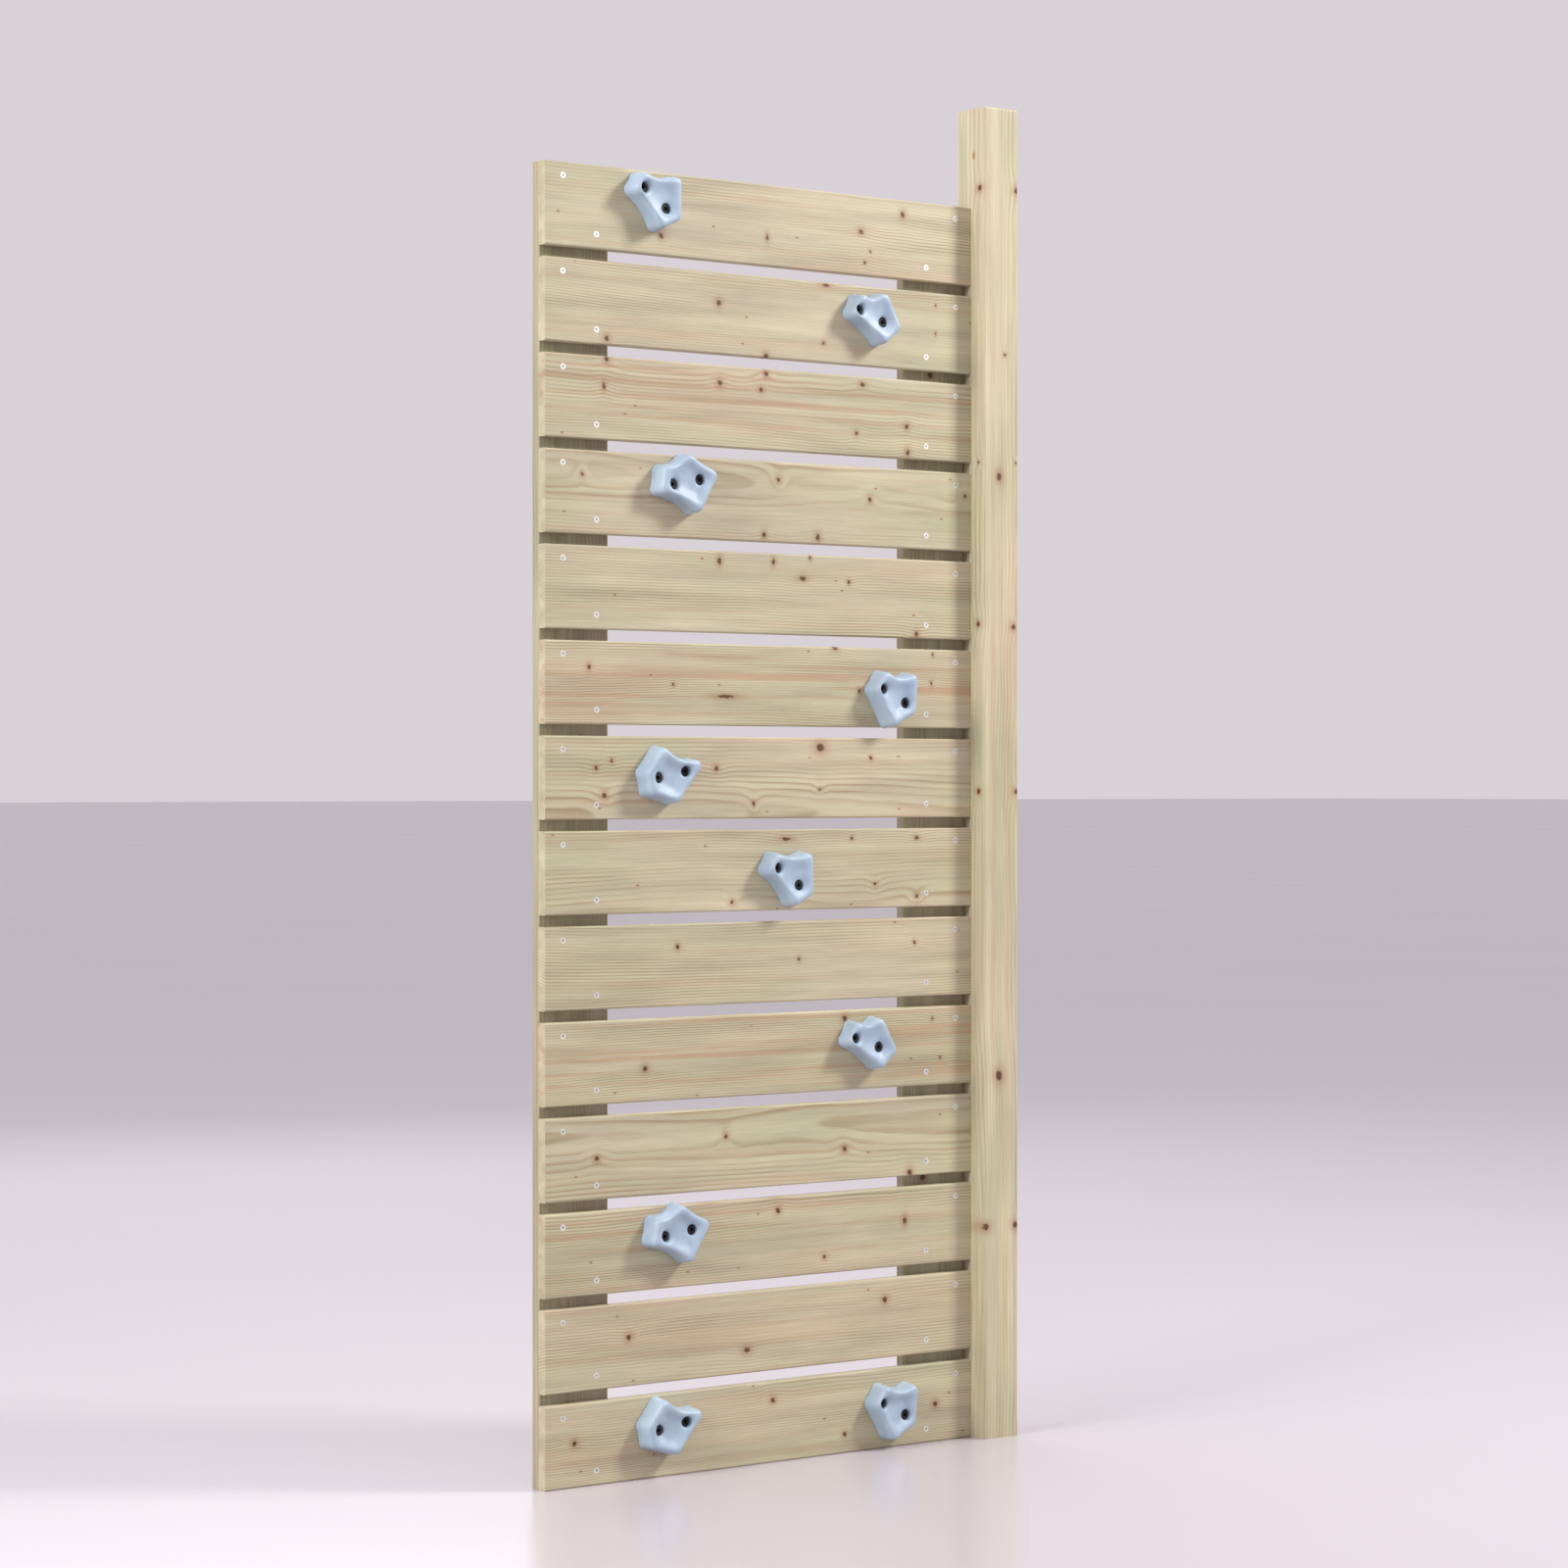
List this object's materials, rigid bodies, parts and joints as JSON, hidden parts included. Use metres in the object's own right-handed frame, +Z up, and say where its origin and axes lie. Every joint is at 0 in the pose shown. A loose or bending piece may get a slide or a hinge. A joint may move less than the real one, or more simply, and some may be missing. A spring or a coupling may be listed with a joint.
{
  "type": "slatted climbing wall panel",
  "caption": "Slatted wooden climbing wall panel with moulded hand holds bolted through its boards and a square corner post along one edge.",
  "frame": {"origin": "on the ground below the middle of the object's box", "axes": "+X along the boards to the right as the climber sees them, +Y into the wall, +Z up"},
  "size_m": [0.886, 0.0724, 2.13],
  "materials": {
    "board_wood": "planed pine, untreated, satin",
    "post_wood": "planed pine, untreated, satin",
    "hold_plastic": "satin pale blue-grey moulding",
    "bolt_steel": "black oxide",
    "zinc_steel": "bright zinc plating"
  },
  "bodies": {
    "root": {"board_01": "board_wood", "board_02": "board_wood", "board_03": "board_wood", "board_04": "board_wood", "board_05": "board_wood", "board_06": "board_wood", "board_07": "board_wood", "board_08": "board_wood", "board_09": "board_wood", "board_10": "board_wood", "board_11": "board_wood", "board_12": "board_wood", "board_13": "board_wood", "board_14": "board_wood", "left_back_board": "board_wood", "right_back_board": "board_wood", "corner_post": "post_wood", "hold_01": "hold_plastic", "hold_02": "hold_plastic", "hold_03": "hold_plastic", "hold_04": "hold_plastic", "hold_05": "hold_plastic", "hold_06": "hold_plastic", "hold_07": "hold_plastic", "hold_08": "hold_plastic", "hold_09": "hold_plastic", "hold_10": "hold_plastic", "hold_bolts": "bolt_steel", "hold_washers": "bolt_steel", "t_nuts": "zinc_steel", "board_screws": "zinc_steel", "joining_plates": "zinc_steel", "plate_screws": "zinc_steel"}
  },
  "joints": []
}
